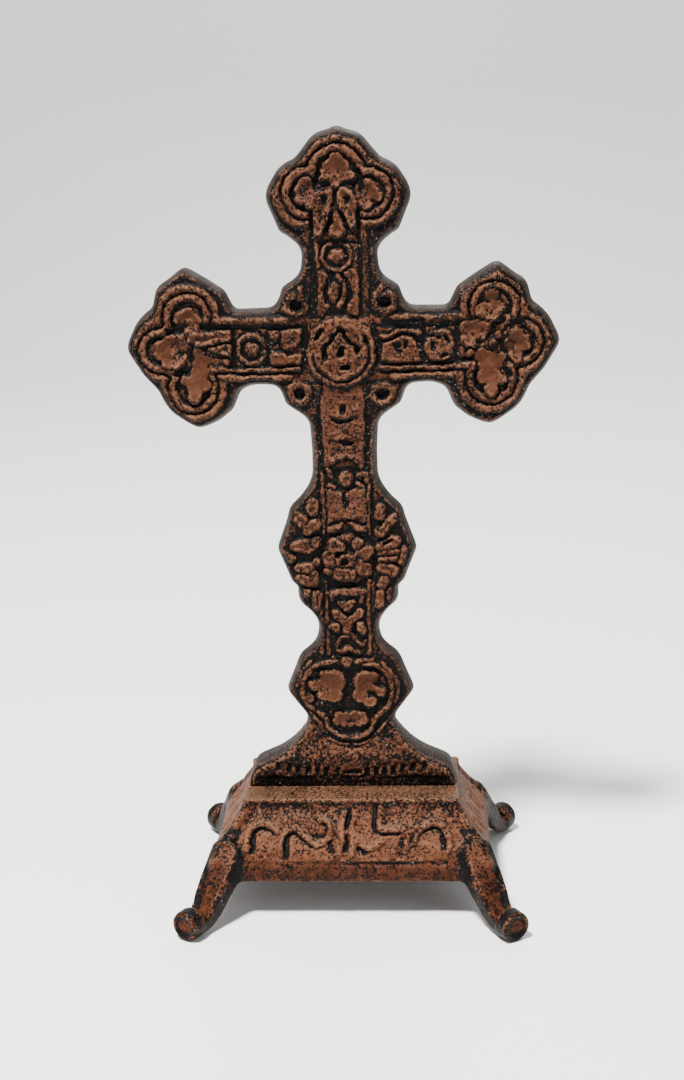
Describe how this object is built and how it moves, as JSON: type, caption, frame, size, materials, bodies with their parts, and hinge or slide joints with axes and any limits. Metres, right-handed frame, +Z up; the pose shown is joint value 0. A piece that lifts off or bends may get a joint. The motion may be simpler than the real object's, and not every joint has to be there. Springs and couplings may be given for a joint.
{
  "type": "altar cross",
  "caption": "Free-standing cast iron cross with trefoil ends and relief ornament, screwed to a hollow flared stand on splayed legs with knob feet.",
  "frame": {"origin": "middle of the base, on the surface that the feet stand on", "axes": "+Z up along the cross; the ornamented front faces -Y; +X to the right of a viewer at the front"},
  "size_m": [0.145, 0.0978, 0.2667],
  "materials": {
    "cross_iron": "matt rust-brown paint over black, black left in the recesses",
    "stand_iron": "matt rust-brown paint over black, black left in the recesses",
    "screw_steel": "dull plated steel, lightly tarnished",
    "washer_steel": "dull plated steel, lightly tarnished"
  },
  "bodies": {
    "root": {"cross": "cross_iron", "stand": "stand_iron", "screw_left": "screw_steel", "screw_right": "screw_steel", "lock_washer_left": "washer_steel", "lock_washer_right": "washer_steel", "plain_washer_left": "washer_steel", "plain_washer_right": "washer_steel"}
  },
  "joints": []
}
